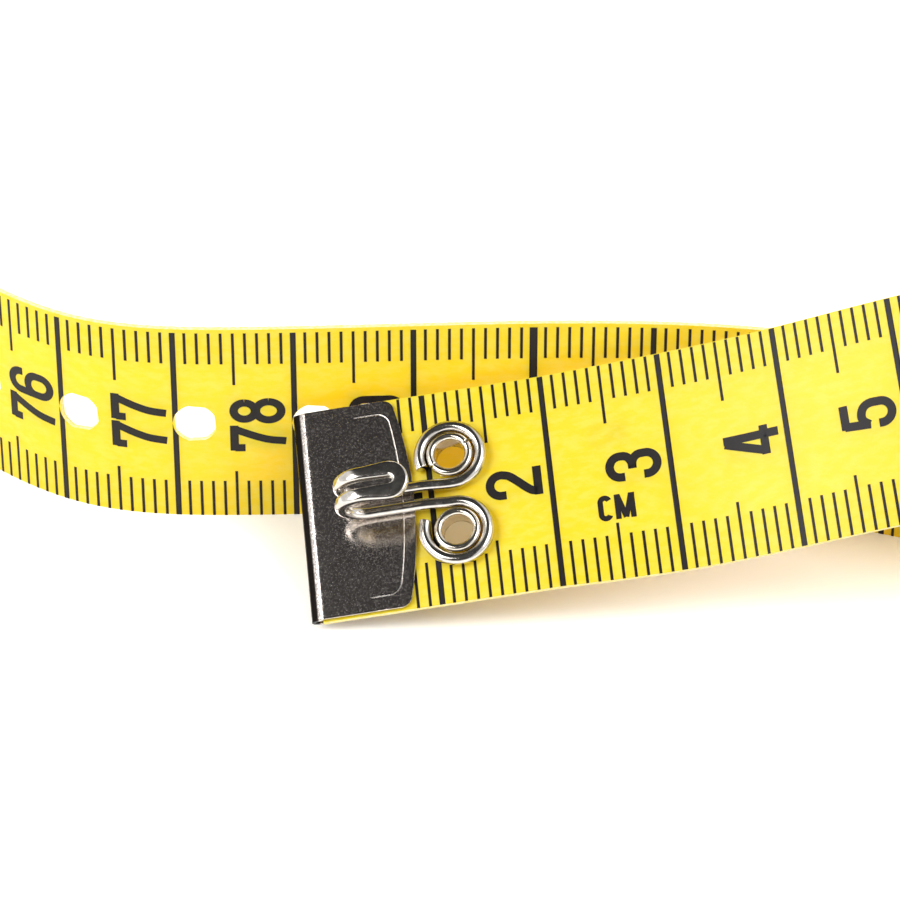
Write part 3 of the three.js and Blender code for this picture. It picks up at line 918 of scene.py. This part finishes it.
def figure_strokes():
    """The middle lines of the figures' strokes in millimetres, in a box 2.55 wide and 4.7 high."""
    left, right, low, high, middle = 0.36, 2.19, 0.36, 4.34, 1.275
    half = (right - left) / 2
    top_arc, foot_arc = 3.42, 1.28
    top = middle, top_arc, half, high - top_arc
    foot = middle, foot_arc, half, high - top_arc
    return {
        "0": [oval(*top, 0, 180) + straight((left, top_arc), (left, foot_arc))
              + oval(*foot, 180, 360) + straight((right, foot_arc), (right, top_arc))],
        "1": [straight((1.6, 0), (1.6, 4.7)), smooth((1.65, 4.15), (1.25, 3.75), (0.55, 3.6))],
        "2": [straight((left, 3.05), (left, 3.4)) + oval(*top, 180, 0)[1:]
              + smooth((right, 3.3), (2.0, 2.7), (1.45, 2.03), (0.88, 1.42), (0.47, 0.88), (0.37, 0.4)),
              straight((0.01, low), (2.55, low))],
        "3": [straight((left, 3.15), (left, 3.45)) + oval(middle, 3.46, half, high - 3.46, 180, 0)[1:]
              + oval(1.3, 3.25, right - 1.3, 0.79, 0, -90)[1:] + straight((1.3, 2.46), (1.0, 2.46)),
              straight((1.05, 2.46), (1.3, 2.46)) + oval(1.3, 1.66, right - 1.3, 0.8, 90, 0)[1:]
              + oval(*foot, 0, -180) + straight((left, foot_arc), (left, 1.55))],
        "4": [straight((1.75, 0), (1.75, 4.7)), straight((0, 1.22), (2.5, 1.22)),
              straight((1.5, 4.6), (0.36, 1.3))],
        "5": [straight((0.36, high), (2.4, high)), straight((0.6, 4.4), (0.42, 2.25)),
              smooth((0.42, 2.35), (0.8, 2.8), (1.3, 2.92), (1.9, 2.68), (right, 2.1), (right, foot_arc))
              + oval(*foot, 0, -180)[1:] + straight((left, foot_arc), (left, 1.55))],
        "6": [straight((right, 3.2), (right, 3.4)) + oval(*top, 0, 180)[1:]
              + straight((left, top_arc), (left, foot_arc)) + oval(*foot, 180, 360)[1:]
              + straight((right, foot_arc), (right, 1.75)) + oval(middle, 1.8, half, 0.85, 0, 180)[1:]],
        "7": [straight((0.01, high), (2.55, high)), straight((0.3, 4.3), (0.3, 3.44)),
              smooth((2.2, 4.3), (1.85, 3.5), (1.45, 2.5), (1.12, 1.4), (0.95, 0.0))],
        "8": [oval(middle, 3.45, 0.82, 0.89, 0, 360), oval(middle, 1.42, half, 1.06, 0, 360)],
        "9": [straight((left, 1.5), (left, 1.3)) + oval(*foot, 180, 360)[1:]
              + straight((right, foot_arc), (right, top_arc)) + oval(*top, 0, 180)[1:]
              + straight((left, top_arc), (left, 2.95)) + oval(middle, 2.9, half, 0.85, 180, 360)[1:]],
    }


figures = figure_strokes()
THREE_FIGURE_SHARE = 0.85
UNIT_STROKE = 0.00045
UNIT_START = 0.0237
UNIT_FOOT = -0.00425
UNIT_STEP = 1.4


def number_strokes(number):
    """The strokes of a centimetre number, which reads across the tape with its foot at the line."""
    digits = str(number)
    narrow = THREE_FIGURE_SHARE if len(digits) > 2 else 1.0
    width = FIGURE_WIDTH * narrow
    total = len(digits) * width + (len(digits) - 1) * FIGURE_SPACE
    foot = number * CM - FIGURE_TO_LINE
    strokes = []
    for place, digit in enumerate(digits):
        left = place * (width + FIGURE_SPACE) - total / 2
        for line in figures[digit]:
            strokes.append([(foot - y * MM, FIGURE_RISE + left + x * MM * narrow) for x, y in line])
    return strokes


def ink_strokes(name, strokes, width):
    """A curve object of flat strokes, made into ribbons of ink."""
    curve = bpy.data.curves.new(name, "CURVE")
    curve.dimensions = "3D"
    for stroke in strokes:
        spline = curve.splines.new("POLY")
        spline.points.add(len(stroke) - 1)
        for point, (x, y) in zip(spline.points, stroke):
            point.co = (x, y, HALF_THICKNESS + INK / 4, 1)
    return run_tree(new_piece(name, curve), strokes_of_ink, Width=width, Ink=INK * 1.5, Material=ink)


def unit_strokes():
    """The letters of the unit, after the second number."""
    c = oval(0.55, 1.6, 0.37, 0.37, 20, 180) + oval(0.55, 0.55, 0.37, 0.37, 180, 340)
    m = [straight((0.18, 0), (0.18, 2.15)), straight((1.42, 0), (1.42, 2.15)),
         straight((0.22, 2.1), (0.8, 0.1)), straight((1.38, 2.1), (0.8, 0.1))]
    letters = [(0, c)] + [(UNIT_STEP, line) for line in m]
    return [[(UNIT_START + (left + x) * MM, UNIT_FOOT + y * MM) for x, y in line]
            for left, line in letters]


def make_print(name, first, last, reverse=False):
    """The scale over these centimetres. Both sides of the tape start at the hook end."""
    marks = range(first, last + 1)
    pieces = []
    covered = int(first == 1)
    if covered:
        pieces.append(moved(ink_blocks("ticks", ticks_outlines(FIRST_OPEN_TICK)), CM))
    ticks = ink_blocks("ticks", ticks_outlines())
    start = first + covered
    pieces.append(run_tree(
        ticks, row_of_copies, Copies=last + 1 - start, First=start * CM, Spacing=CM, Material=ink))
    for mark in marks:
        width = DECADE_WIDTH if mark % 10 == 0 else LINE_WIDTH
        outlines = line_outlines(width, mark in WAIST_HOLE_MARKS, print_drop(mark * CM))
        outlines = [[(x + mark * CM, y) for x, y in part] for part in outlines]
        pieces.append(ink_blocks("line", outlines))
    numbers = [stroke for mark in marks for stroke in number_strokes(mark)]
    pieces.append(ink_strokes("numbers", numbers, FIGURE_STROKE))
    if first <= 2 <= last:
        pieces.append(ink_strokes("unit", unit_strokes(), UNIT_STROKE))
    scale = join(pieces, name)
    scale.data.materials.clear()
    for vertex in scale.data.vertices:
        vertex.co.y = max(vertex.co.y - print_drop(vertex.co.x), -HALF_WIDTH)
    if reverse:
        scale.data.transform(Matrix.Rotation(pi, 4, "X"))
    scale = run_tree(scale, along_the_tape, Lay=lay)
    scale.data.materials.append(ink)
    scale.data.polygons.foreach_set("material_index", [0] * len(scale.data.polygons))
    scale.data.shade_flat()
    return scale


# The metal pieces, drawn in the frame of the tape's end

def sheet_from_grid(name, middle, outward, thickness):
    """A closed sheet round a grid of points, half its thickness to each side."""
    shift = outward * thickness / 2
    points = np.stack([middle + shift, middle - shift])
    front, back = np.arange(points.size // 3).reshape(points.shape[:3])
    quads = [(front[:-1, :-1], front[1:, :-1], front[1:, 1:], front[:-1, 1:]),
             (back[:-1, :-1], back[:-1, 1:], back[1:, 1:], back[1:, :-1])]
    quads += [(front[:-1, j], back[:-1, j], back[1:, j], front[1:, j]) for j in (0, -1)]
    quads += [(front[i, :-1], front[i, 1:], back[i, 1:], back[i, :-1]) for i in (0, -1)]
    faces = np.concatenate([np.stack(corners, -1).reshape(-1, 4) for corners in quads])
    piece = mesh_piece(name, points.reshape(-1, 3), faces.tolist())
    weld(piece)
    return piece


# The points along each part of a cap's sheet, and how far its edges are rounded
FOLD_BEND_STEPS = 8
FOLD_TIP_STEPS = 10
PLATE_STEPS = 12
CORNER_STEPS = 12
HALF_EDGE_STEPS = 14
SHEET_ROUNDING = 0.00007


def round_edges(piece, width, segments, angle):
    """Rounds the edges that turn by more than this angle."""
    rounded = piece.modifiers.new("rounded", "BEVEL")
    rounded.width = width
    rounded.segments = segments
    rounded.limit_method = "ANGLE"
    rounded.angle_limit = radians(angle)
    mesh = plain_mesh(piece)
    piece.modifiers.clear()
    piece.data = mesh


def fold_profile():
    """Half of a cap's fold, from its plate to its tip: place, height and slope of the sheet's middle."""
    slope = radians(FOLD_SLOPE)
    points = []
    for angle in np.linspace(0, slope, FOLD_BEND_STEPS):
        x = FOLD_START - FOLD_BEND * sin(angle)
        points.append((x, CAP_HALF_HEIGHT - FOLD_BEND * (1 - cos(angle)), angle))
    x, height, _ = points[-1]
    run = x - FOLD_TIP_START
    tip_height = height - run * tan(slope)
    tip = tip_height / cos(slope)
    centre = FOLD_TIP_START + tip * sin(slope)
    points.append((x - run / 2, height - run / 2 * tan(slope), slope))
    points += [(centre - tip * sin(a), tip * cos(a), a) for a in np.linspace(slope, pi / 2, FOLD_TIP_STEPS)]
    half = CAP_SHEET / 2
    return [(x + half * sin(a), z - half * cos(a), a) for x, z, a in points]


def cap_reach(height):
    return CAP_LENGTH - CAP_END_DROP * (height / (CAP_WIDTH / 2)) ** 2


def make_cap(name):
    """One sheet folded round the end of the tape, with bowed free edges and round corners."""
    inner = CAP_WIDTH / 2 - CAP_CORNER
    corner = np.radians(np.linspace(90, 0, CORNER_STEPS, endpoint=False))
    heights = np.concatenate([inner + CAP_CORNER * np.sin(corner), np.linspace(inner, 0, HALF_EDGE_STEPS)])
    drawn_in = np.concatenate([CAP_CORNER * (1 - np.cos(corner)), np.zeros(HALF_EDGE_STEPS)])
    reaches = np.array([cap_reach(min(height, inner)) for height in heights]) - drawn_in
    heights = np.concatenate([heights, -heights[-2::-1]])
    reaches = np.concatenate([reaches, reaches[-2::-1]])
    plate = CAP_HALF_HEIGHT - CAP_SHEET / 2
    fold = fold_profile()
    rows, outward = [], []
    for side, order in ((-1, slice(None)), (1, slice(-2, None, -1))):
        plate_rows = [
            [(FOLD_START + (reach - FOLD_START) * share, height, side * plate)
             for reach, height in zip(reaches, heights)]
            for share in np.linspace(1, 0, PLATE_STEPS, endpoint=False)
        ]
        fold_rows = [[(x, height, side * z) for height in heights] for x, z, _ in fold]
        slopes = [0] * len(plate_rows) + [angle for _, _, angle in fold]
        facing = [[(-sin(slope), 0, side * cos(slope))] * len(heights) for slope in slopes]
        rows += (plate_rows + fold_rows)[order]
        outward += facing[order]
    cap = sheet_from_grid(name, np.array(rows), np.array(outward), CAP_SHEET)
    round_edges(cap, SHEET_ROUNDING, 3, 50)
    plate_map = cap.data.attributes.new("plate", "FLOAT2", "CORNER")
    for loop, entry in zip(cap.data.loops, plate_map.data):
        place = cap.data.vertices[loop.vertex_index].co
        entry.vector = (place.x / CM, place.y / CM)
    return shade(cap, 35, cap_plate)


# The eyelets' sides and the points of their rolled rims, the small slopes of their bores and flanges,
# and how deep and how far down the rim its splits are cut
EYELET_SIDES = 160
ROLL_STEPS = 22
BORE_MOUTH = 0.00004
FLANGE_CORNER = 0.0001
FLANGE_TAPER = 0.00005
SPLIT_DEPTH = 0.8
SPLIT_REACH = 0.99


def split_depth(turn, splits):
    """1 at a split in a rolled rim, 0 clear of it."""
    gaps = [abs(remainder(turn - split, 2 * pi)) for split in splits]
    return max([0] + [1 - gap / SPLIT_HALF_ANGLE for gap in gaps])


def make_eyelet(name, side, splits):
    """A short tube with a flat flange behind the tape and an edge rolled over in front."""
    bore, flange = EYELET_BORE / 2, EYELET_FLANGE / 2
    back = -HALF_THICKNESS - SEAT_GAP - EYELET_WALL
    roll_centre = WIRE_HEIGHT + WIRE_RADIUS - EYELET_ROLL
    profile = [
        (bore + BORE_MOUTH, back),
        (flange - FLANGE_CORNER, back),
        (flange, back + FLANGE_CORNER),
        (flange - FLANGE_TAPER, back + EYELET_WALL),
        (EYELET_BARREL, back + EYELET_WALL),
    ]
    for angle in np.radians(np.linspace(-90, 180, ROLL_STEPS)):
        profile.append((EYELET_BARREL + EYELET_ROLL * cos(angle), roll_centre + EYELET_ROLL * sin(angle)))
    profile.append((bore, back + FLANGE_CORNER))
    points = []
    for turn in np.linspace(0, 2 * pi, EYELET_SIDES, endpoint=False):
        cut = SPLIT_DEPTH * split_depth(turn, splits)
        for radius, z in profile:
            if z > roll_centre - EYELET_ROLL * SPLIT_REACH:
                radius -= max(radius - EYELET_BARREL, 0) * cut
                z -= max(z - roll_centre, 0) * cut
            points.append((radius * cos(turn), radius * sin(turn), z))
    count = len(profile)
    faces = []
    for i in range(EYELET_SIDES):
        faces += ring_faces((i + 1) % EYELET_SIDES * count, i * count, count)
    eyelet = mesh_piece(name, points, faces)
    weld(eyelet)
    moved(eyelet, EYELET_PLACE, side * EYELET_PITCH / 2)
    return shade(eyelet, 50, eyelet_metal)


# The points along each part of the hook: its loops, rises, shanks, bends, bill and eye
LOOP_STEPS = 72
RISE_STEPS = 12
SHANK_STEPS = 10
BEND_STEPS = 30
BILL_STEPS = 14
BILL_EYE_STEPS = 20


def eased(t):
    return t * t * (3 - 2 * t)


def hook_half(end_angle, flare):
    """Half of the wire's middle line: points with the flattening of the wire at each, from 0 to 1."""
    centre_y = EYELET_PITCH / 2
    shank = centre_y - LOOP_WIRE_RADIUS
    points = []
    for angle in np.radians(np.linspace(end_angle, -90, LOOP_STEPS)):
        radius = LOOP_WIRE_RADIUS + flare * max(degrees(angle) / end_angle - 0.5, 0) ** 2 * 4
        x = EYELET_PLACE + radius * cos(angle)
        points.append((x, centre_y + radius * sin(angle), WIRE_HEIGHT, 0))
    cap_edge = CAP_LENGTH + WIRE_RADIUS
    for t in np.linspace(0, 1, RISE_STEPS)[1:]:
        x = EYELET_PLACE + (cap_edge - EYELET_PLACE) * t
        points.append((x, shank, WIRE_HEIGHT + (SHANK_HEIGHT - WIRE_HEIGHT) * eased(t), 0))
    for x in np.linspace(cap_edge, HOOK_BEND_START, SHANK_STEPS, endpoint=False)[1:]:
        points.append((x, shank, SHANK_HEIGHT, 0))
    bill_start = shank + (BILL_EYE_RADIUS - shank) * BEND_SPREAD_SHARE
    for t in np.linspace(0, 1, BEND_STEPS):
        spread = eased(t)
        x = HOOK_BEND_START - HOOK_BEND_RADIUS * sin(pi * t)
        height = SHANK_HEIGHT + HOOK_BEND_RADIUS * (1 - cos(pi * t))
        points.append((x, shank + (bill_start - shank) * spread, height, BEND_SPREAD_SHARE * spread))
    for t in np.linspace(0, 1, BILL_STEPS)[1:-1]:
        spread = eased(t)
        x = HOOK_BEND_START + (BILL_EYE_PLACE - HOOK_BEND_START) * t
        flat = BEND_SPREAD_SHARE + (1 - BEND_SPREAD_SHARE) * spread
        points.append((x, bill_start + (BILL_EYE_RADIUS - bill_start) * spread, BILL_HEIGHT, flat))
    for angle in np.radians(np.linspace(90, 0, BILL_EYE_STEPS)):
        x = BILL_EYE_PLACE + BILL_EYE_RADIUS * cos(angle)
        points.append((x, BILL_EYE_RADIUS * sin(angle), BILL_HEIGHT, 1))
    return points


WIRE_SIDES = 32
WIRE_ROUNDING = 0.00006
BAND_SQUARENESS = 2.4


def wire_section(flat):
    """The wire's outline across its path: round, or flattened to a band with round corners."""
    corner = 2 / (2 + BAND_SQUARENESS * flat)
    wide = 1 + (BILL_WIDTH / WIRE - 1) * flat
    thick = 1 + (BILL_THICKNESS / WIRE - 1) * flat
    outline = []
    for turn in np.linspace(0, 2 * pi, WIRE_SIDES, endpoint=False):
        up, side = cos(turn), sin(turn)
        up = copysign(abs(up) ** corner, up) * thick
        side = copysign(abs(side) ** corner, side) * wide
        outline.append((up * WIRE_RADIUS, side * WIRE_RADIUS))
    return outline


def make_hook():
    """One wire: a loop, a shank, the bend, round the flattened bill, and back to the other loop."""
    upper = hook_half(UPPER_WIRE_END, 0)
    lower = hook_half(LOWER_WIRE_END, LOWER_WIRE_FLARE)
    path = upper + [(x, -y, z, flat) for x, y, z, flat in reversed(lower[:-1])]
    places = [Vector(point[:3]) for point in path]
    normal = Vector((0, 0, 1))
    points, faces = [], []
    for i, place in enumerate(places):
        tangent = (places[min(i + 1, len(places) - 1)] - places[max(i - 1, 0)]).normalized()
        normal = (normal - tangent * normal.dot(tangent)).normalized()
        side = tangent.cross(normal)
        points += [place + normal * up + side * out for up, out in wire_section(path[i][3])]
    for i in range(len(places) - 1):
        faces += ring_faces(i * WIRE_SIDES, (i + 1) * WIRE_SIDES, WIRE_SIDES)
    faces.append(tuple(reversed(range(WIRE_SIDES))))
    faces.append(tuple(range(len(points) - WIRE_SIDES, len(points))))
    hook = mesh_piece("hook", points, faces)
    weld(hook)
    round_edges(hook, WIRE_ROUNDING, 2, 60)
    return shade(hook, 50, wire_metal)


# The whole tape measure

tapes = make_tape()
stretches = {"at_hook": (1, 10), "in_loop": (11, 138), "at_tail": (139, 149)}
front_print = [make_print("scale_" + name, *marks) for name, marks in stretches.items()]
back_print = [make_print("back_scale_" + name, *marks, reverse=True) for name, marks in stretches.items()]
hook_stretch, loop_stretch, tail_stretch = zip(tapes, front_print, back_print)
bpy.data.objects.remove(lay)

hook_end_matrix = end_matrix(0)
cap_at_hook = placed(make_cap("cap_at_hook"), hook_end_matrix)
cap_at_tail = placed(make_cap("cap_at_tail"), end_matrix(TAPE_LENGTH, -1))
upper_eyelet = placed(make_eyelet("upper_eyelet", 1, UPPER_RIM_SPLITS), hook_end_matrix)
lower_eyelet = placed(make_eyelet("lower_eyelet", -1, []), hook_end_matrix)
hook = placed(make_hook(), hook_end_matrix)

for piece, node, slot in (
    (tapes[0], "tape_hook_end", "tape"),
    (tapes[1], "tape_loop", "tape"),
    (tapes[2], "tape_tail_end", "tape"),
    (cap_at_hook, "hook_end_cap", "cap"),
    (cap_at_tail, "tail_end_cap", "cap"),
    (upper_eyelet, "eyelet_upper", "eyelet"),
    (lower_eyelet, "eyelet_lower", "eyelet"),
    (hook, "dress_hook", "wire"),
):
    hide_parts(node)

for pieces, body in (
    (loop_stretch, "tape_coil"),
    ((cap_at_hook, upper_eyelet, lower_eyelet, hook), "hook_end"),
    ((cap_at_tail,), "tail_end"),
):
    for piece in pieces:
        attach(piece, body)
for pieces, first, second, mark in (
    (hook_stretch, "hook_end", "tape_coil", HOOK_JOINT_MARK),
    (tail_stretch, "tape_coil", "tail_end", TAIL_JOINT_MARK),
):
    for piece in pieces:
        on_tape(mark - BEND_REACH)
        on_tape(mark + BEND_REACH)
        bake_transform(piece)


# Floor, light and camera

ROOM_LIGHT = 0.95
CEILING_MIDDLE = -0.2
CEILING_REACH = 0.44
CEILING_FOOT = 0.15
CEILING_BLUR = 0.14
CEILING_LIGHT = 0.05
FLOOR_GLOW = 0.47
FLOOR_REACH = 2.5
SHADOW_SAMPLES = 8
SHADOW_REACH = 0.013
GLOW_START = 0.3
GLOW_STEEPNESS = 2.2


def make_floor():
    """A white floor that keeps the shadow and the warm light under the tape, and glows where it is open, so
    painting extra shade where it is covered.
    """
    finish = Finish("floor")
    settings = {"samples": SHADOW_SAMPLES}
    # Ambient occlusion holds back the glow under and beside the tape: painted shade there
    near = finish.node("ShaderNodeAmbientOcclusion", settings, {"Distance": SHADOW_REACH}, output=1)
    open_share = ((near - GLOW_START) * GLOW_STEEPNESS).lowest(1).highest(0)
    finish.set(Base_Color=srgb(250, 250, 249), Roughness=0.9, Specular_IOR_Level=0.0)
    camera, glossy, clear = (
        finish.node("ShaderNodeLightPath", output="Is " + kind + " Ray")
        for kind in ("Camera", "Glossy", "Transmission"))
    share = camera.highest(glossy).highest(clear) * open_share
    glow = finish.node("ShaderNodeEmission", None, {"Color": (1, 1, 1, 1), "Strength": FLOOR_GLOW})
    nothing = finish.node("ShaderNodeEmission", None, {"Color": (0, 0, 0, 1), "Strength": 0.0})
    mixed = finish.node("ShaderNodeMixShader", None, {0: share, 1: nothing, 2: glow})
    finish.show(finish.node("ShaderNodeAddShader", None, {0: finish.plain, 1: mixed}))
    corners = [(x * FLOOR_REACH, y * FLOOR_REACH, 0) for x, y in ((-1, -1), (1, -1), (1, 1), (-1, 1))]
    floor = mesh_piece("floor", corners, [(0, 1, 2, 3)])
    floor.data.materials.append(finish.material)


def make_world():
    """White light from the left, the right and low down, and a dark ceiling for the metal to mirror."""
    world = bpy.data.worlds.new("studio")
    bpy.context.scene.world = world
    world.use_nodes = True
    graph = Graph(world.node_tree)
    right, _, up = graph.split(graph.node("ShaderNodeTexCoord"))
    overhead = abs(right - CEILING_MIDDLE).below(CEILING_REACH, CEILING_BLUR)
    ceiling = overhead * (1 - up.below(CEILING_FOOT, CEILING_BLUR))
    colour = graph.mix(ceiling, (1, 1, 1, 1), (CEILING_LIGHT, CEILING_LIGHT, CEILING_LIGHT, 1))
    background = world.node_tree.nodes["Background"]
    graph.feed(background.inputs["Color"], colour)
    graph.feed(background.inputs["Strength"], ROOM_LIGHT)


# The lamps: the place, size and power of each, and the point that they are turned to
LAMPS = {
    "key": ((-0.75, -0.55, 0.65), 0.6, 8.8),
    "fill": ((0.66, -0.5, 0.85), 0.7, 6.4),
    "back": ((0.1, 0.9, 0.4), 0.7, 5.0),
}
LAMP_TARGET = (0, -0.1, 0)


def make_lamps():
    for name, (place, size, energy) in LAMPS.items():
        light = bpy.data.lights.new(name, "AREA")
        light.shape = "SQUARE"
        light.size = size
        light.energy = energy
        lamp = new_piece(name, light)
        lamp.location = place
        lamp.rotation_euler = (Vector(LAMP_TARGET) - Vector(place)).to_track_quat("-Z", "Y").to_euler()


# The camera: its pitch in degrees, distance in metres, and focus in pixels of the picture
CAMERA_PITCH = 34.62
CAMERA_DISTANCE = 0.3868
CAMERA_FOCUS = 4449
PICTURE = 900
SENSOR = 36


def make_camera():
    """The photograph's view, fitted to the places of its printed marks."""
    camera = bpy.data.cameras.new("camera")
    camera.sensor_width = SENSOR
    camera.lens = CAMERA_FOCUS / PICTURE * SENSOR
    camera.clip_start = 0.01
    eye = new_piece("camera", camera)
    pitch = radians(CAMERA_PITCH)
    eye.location = lay_shift + Vector((0, -cos(pitch), sin(pitch))) * CAMERA_DISTANCE
    eye.rotation_euler = (pi / 2 - pitch, 0, 0)
    bpy.context.scene.camera = eye


make_floor()
make_world()
make_lamps()
make_camera()
bpy.context.scene.view_settings.view_transform = "Standard"
